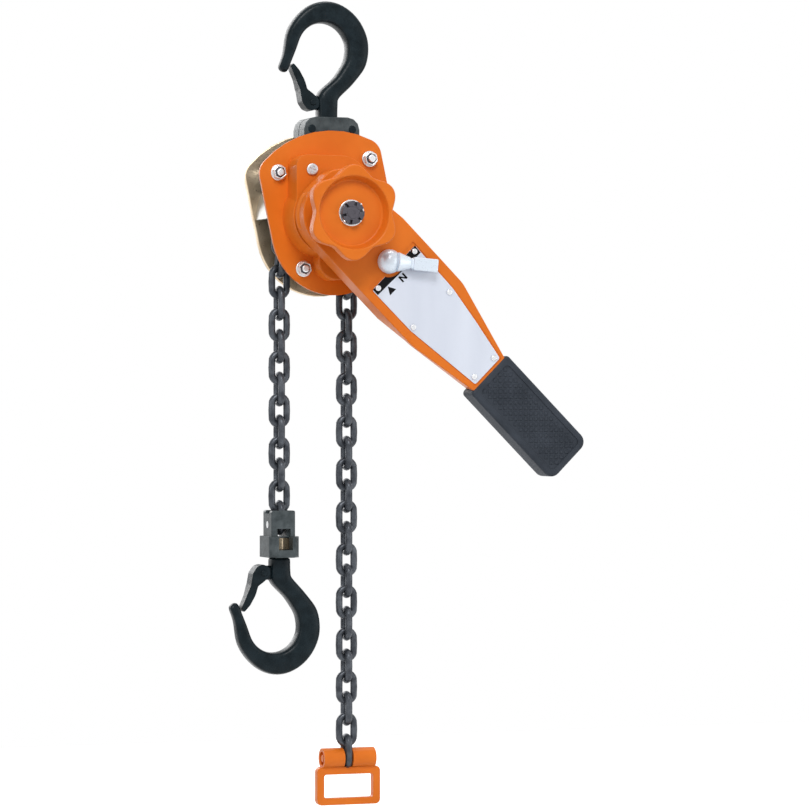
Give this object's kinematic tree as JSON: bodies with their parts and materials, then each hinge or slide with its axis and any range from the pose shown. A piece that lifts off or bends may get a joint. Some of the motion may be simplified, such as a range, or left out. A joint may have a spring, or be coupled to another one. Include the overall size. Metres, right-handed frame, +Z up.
{
  "type": "lever chain hoist",
  "caption": "Hand-lever chain hoist with hooks above and below, load chain with tail ring, lobed hand wheel and a change-over knob on the lever.",
  "frame": {"origin": "the saddle of the top hook, where the hoist hangs", "axes": "+Z up along the hanging chain, -Y toward the hand wheel, +X to the side the lever rests on"},
  "size_m": [0.2751, 0.1475, 0.6447],
  "materials": {
    "orange_enamel": "gloss",
    "black_enamel": "gloss",
    "yellow_zinc": "satin",
    "bright_zinc": "satin",
    "chain_steel": "satin",
    "machined_steel": "satin",
    "dark_steel": "satin",
    "black_rubber": "matte",
    "plate_silver": "satin",
    "friction_lining": "matte"
  },
  "bodies": {
    "hook": {"top_hook": "black_enamel", "top_latch_pin": "bright_zinc"},
    "top_latch": {"top_latch": "black_enamel"},
    "yoke": {"top_yoke_front": "black_enamel", "top_yoke_rear": "black_enamel", "yoke_bolts": "bright_zinc"},
    "body": {"suspension_pin": "machined_steel", "brake_side_plate": "black_enamel", "gear_side_plate": "yellow_zinc", "stay_bolts": "bright_zinc", "stay_nuts": "bright_zinc", "stay_spacers": "machined_steel", "wheel_bushes": "machined_steel", "chain_guides": "machined_steel", "chain_stripper": "machined_steel", "gear_cover": "orange_enamel", "brake_cover": "orange_enamel", "cover_screw": "bright_zinc", "pawl_pins": "machined_steel", "ratchet_disc": "machined_steel"},
    "upper_pawl": {"upper_brake_pawl": "machined_steel"},
    "lower_pawl": {"lower_brake_pawl": "machined_steel"},
    "wheel": {"load_wheel": "machined_steel", "load_gear": "machined_steel", "wheel_links": "chain_steel"},
    "upper_idler": {"upper_idler_gear": "machined_steel"},
    "lower_idler": {"lower_idler_gear": "machined_steel"},
    "drive": {"drive_shaft": "machined_steel", "brake_hub": "machined_steel", "friction_discs": "friction_lining", "change_gear": "machined_steel", "hand_wheel": "orange_enamel", "castle_nut": "dark_steel", "split_pin": "bright_zinc"},
    "lever": {"lever_front_shell": "orange_enamel", "lever_rear_shell": "orange_enamel", "name_plate": "plate_silver", "grip": "black_rubber", "detent_spring": "machined_steel"},
    "selector": {"selector_lever": "bright_zinc", "change_pawl": "machined_steel"},
    "load_lead": {"load_lead_link": "chain_steel"},
    "load_strand": {"load_chain": "chain_steel"},
    "slack_lead": {"slack_lead_link": "chain_steel"},
    "slack_strand": {"slack_chain": "chain_steel"},
    "bottom_block": {"bottom_yoke": "black_enamel", "chain_pin": "bright_zinc"},
    "bottom_hook": {"bottom_hook": "black_enamel", "bottom_hook_nut": "yellow_zinc", "bottom_latch_pin": "bright_zinc"},
    "bottom_latch": {"bottom_latch": "black_enamel"},
    "tail": {"tail_ring": "orange_enamel", "tail_pin": "orange_enamel"}
  },
  "joints": [
    {"name": "top_latch_open", "type": "hinge", "parent": "hook", "child": "top_latch", "pos_m": [-0.0092, 0, -0.0637], "axis": [0, 1, 0], "range_deg": [0, 30], "stiffness_Nm_per_rad": 0.05, "springref_deg": -28.65},
    {"name": "top_swivel", "type": "hinge", "parent": "hook", "child": "yoke", "pos_m": [0.0042, 0, -0.09], "axis": [0, 0, 1], "continuous": true},
    {"name": "body_swing", "type": "hinge", "parent": "yoke", "child": "body", "pos_m": [0.0052, 0, -0.0984], "axis": [0, -1, 0], "range_deg": [-5, 22]},
    {"name": "lever_swing", "type": "hinge", "parent": "body", "child": "lever", "pos_m": [-0.0072, 0, -0.1565], "axis": [0, -1, 0], "continuous": true},
    {"name": "selector_turn", "type": "hinge", "parent": "lever", "child": "selector", "pos_m": [0.03275, 0, -0.19292], "axis": [0, 1, 0], "range_deg": [0, 80]},
    {"name": "drive_turn", "type": "hinge", "parent": "body", "child": "drive", "pos_m": [-0.0072, 0, -0.1565], "axis": [0, 1, 0], "range_deg": [0, 216]},
    {"name": "upper_idler_turn", "type": "hinge", "parent": "body", "child": "upper_idler", "pos_m": [-0.00579, 0, -0.12954], "axis": [0, 1, 0], "range_deg": [-72, 0]},
    {"name": "lower_idler_turn", "type": "hinge", "parent": "body", "child": "lower_idler", "pos_m": [0.00905, 0, -0.17806], "axis": [0, 1, 0], "range_deg": [-72, 0]},
    {"name": "wheel_turn", "type": "hinge", "parent": "body", "child": "wheel", "pos_m": [-0.0072, 0, -0.1565], "axis": [0, 1, 0], "range_deg": [0, 36]},
    {"name": "upper_pawl_lift", "type": "hinge", "parent": "body", "child": "upper_pawl", "pos_m": [-0.02303, 0, -0.12009], "axis": [0, -1, 0], "range_deg": [0, 6], "stiffness_Nm_per_rad": 0.02, "springref_deg": -28.65},
    {"name": "lower_pawl_lift", "type": "hinge", "parent": "body", "child": "lower_pawl", "pos_m": [0.00552, 0, -0.19146], "axis": [0, -1, 0], "range_deg": [0, 6], "stiffness_Nm_per_rad": 0.02, "springref_deg": -28.65},
    {"name": "load_lead_turn", "type": "hinge", "parent": "wheel", "child": "load_lead", "pos_m": [-0.03256, 0, -0.168], "axis": [0, 1, 0], "range_deg": [-36, 0]},
    {"name": "slack_lead_turn", "type": "hinge", "parent": "wheel", "child": "slack_lead", "pos_m": [0.02007, 0, -0.1509], "axis": [0, 1, 0], "range_deg": [-36, 0]},
    {"name": "load_strand_swing", "type": "hinge", "parent": "load_lead", "child": "load_strand", "pos_m": [-0.03355, 0, -0.17916], "axis": [0, -1, 0], "range_deg": [-22, 5]},
    {"name": "slack_strand_swing", "type": "hinge", "parent": "slack_lead", "child": "slack_strand", "pos_m": [0.02007, 0, -0.1621], "axis": [0, -1, 0], "range_deg": [-22, 5]},
    {"name": "block_rock", "type": "hinge", "parent": "load_strand", "child": "bottom_block", "pos_m": [-0.0356, 0, -0.40126], "axis": [1, 0, 0], "range_deg": [-5, 5]},
    {"name": "bottom_swivel", "type": "hinge", "parent": "bottom_block", "child": "bottom_hook", "pos_m": [-0.0356, 0, -0.42], "axis": [0, 0, 1], "continuous": true},
    {"name": "bottom_latch_open", "type": "hinge", "parent": "bottom_hook", "child": "bottom_latch", "pos_m": [-0.0504, 0, -0.43966], "axis": [0, -1, 0], "range_deg": [0, 30], "stiffness_Nm_per_rad": 0.05, "springref_deg": -28.65},
    {"name": "tail_ring_swing", "type": "hinge", "parent": "slack_strand", "child": "tail", "pos_m": [0.0222, 0, -0.58947], "axis": [1, 0, 0], "range_deg": [-45, 45]}
  ],
  "couplings": [
    {"joint": "upper_idler_turn", "follows": "drive_turn", "ratio": -0.33333},
    {"joint": "lower_idler_turn", "follows": "drive_turn", "ratio": -0.33333},
    {"joint": "wheel_turn", "follows": "drive_turn", "ratio": 0.16667},
    {"joint": "load_lead_turn", "follows": "drive_turn", "ratio": -0.16667},
    {"joint": "slack_lead_turn", "follows": "drive_turn", "ratio": -0.16667},
    {"joint": "load_strand_swing", "follows": "body_swing", "ratio": -1},
    {"joint": "slack_strand_swing", "follows": "body_swing", "ratio": -1}
  ]
}
